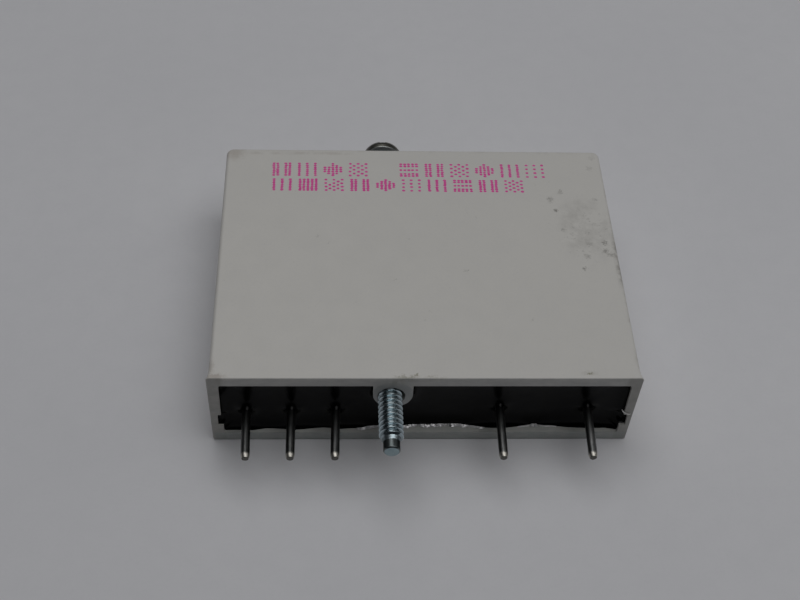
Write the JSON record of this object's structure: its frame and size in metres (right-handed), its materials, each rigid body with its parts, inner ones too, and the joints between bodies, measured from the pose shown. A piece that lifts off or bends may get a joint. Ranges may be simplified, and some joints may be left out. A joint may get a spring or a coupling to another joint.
{
  "type": "solid state relay",
  "caption": "Thin white plug-in relay module lying on its broad side, with black potting, round contact pins and a long captive hold-down screw.",
  "frame": {"origin": "under the middle of the overall box, on the broad face that the module lies on", "axes": "+Z through the thickness, -Y the open pin side and +Y the closed end, +X to the field contacts"},
  "size_m": [0.0488, 0.0476, 0.0118],
  "materials": {
    "white_case": "satin moulded plastic, off-white",
    "black_potting": "cast epoxy, glossy black",
    "board_laminate": "glass-epoxy laminate with green solder mask",
    "pin_metal": "tin-plated brass gone dull and dark",
    "zinc_steel": "bright zinc plate with a blue tint",
    "nylon_natural": "natural nylon",
    "moulded_package": "black moulding compound",
    "tinned_lead": "tinned wire",
    "resistor_lacquer": "tan lacquer with colour bands",
    "diode_glass": "orange-tinted glass with a dark band",
    "capacitor_sleeve": "dark blue shrink sleeve",
    "disc_coating": "ochre dipped coating",
    "led_resin": "red diffused resin",
    "solder": "solder, semi-bright"
  },
  "bodies": {
    "case": {"case_shell": "white_case", "potting_compound": "black_potting", "circuit_board": "board_laminate", "field_pin_1": "pin_metal", "field_pin_2": "pin_metal", "logic_pin_3": "pin_metal", "logic_pin_4": "pin_metal", "logic_pin_5": "pin_metal", "optocoupler_body": "moulded_package", "optocoupler_leads": "tinned_lead", "bridge_rectifier_body": "moulded_package", "bridge_rectifier_leads": "tinned_lead", "input_resistor_body": "resistor_lacquer", "input_resistor_leads": "tinned_lead", "zener_diode_body": "diode_glass", "zener_diode_leads": "tinned_lead", "logic_resistor_bodies": "resistor_lacquer", "logic_resistor_leads": "tinned_lead", "filter_capacitor_can": "capacitor_sleeve", "filter_capacitor_leads": "tinned_lead", "output_transistor_body": "moulded_package", "output_transistor_leads": "tinned_lead", "disc_capacitor_body": "disc_coating", "disc_capacitor_leads": "tinned_lead", "status_led_lens": "led_resin", "status_led_leads": "tinned_lead", "solder_joints": "solder"},
    "retainer": {"screw_retaining_ring": "nylon_natural"},
    "screw": {"hold_down_screw": "zinc_steel"}
  },
  "joints": [
    {"name": "screw_slide", "type": "slide", "parent": "case", "child": "retainer", "axis": [0, -1, 0], "range_m": [-0.008, 0.00133]},
    {"name": "screw_turn", "type": "hinge", "parent": "retainer", "child": "screw", "pos_m": [-0.00396, 0, 0.0085], "axis": [0, -1, 0], "continuous": true}
  ]
}
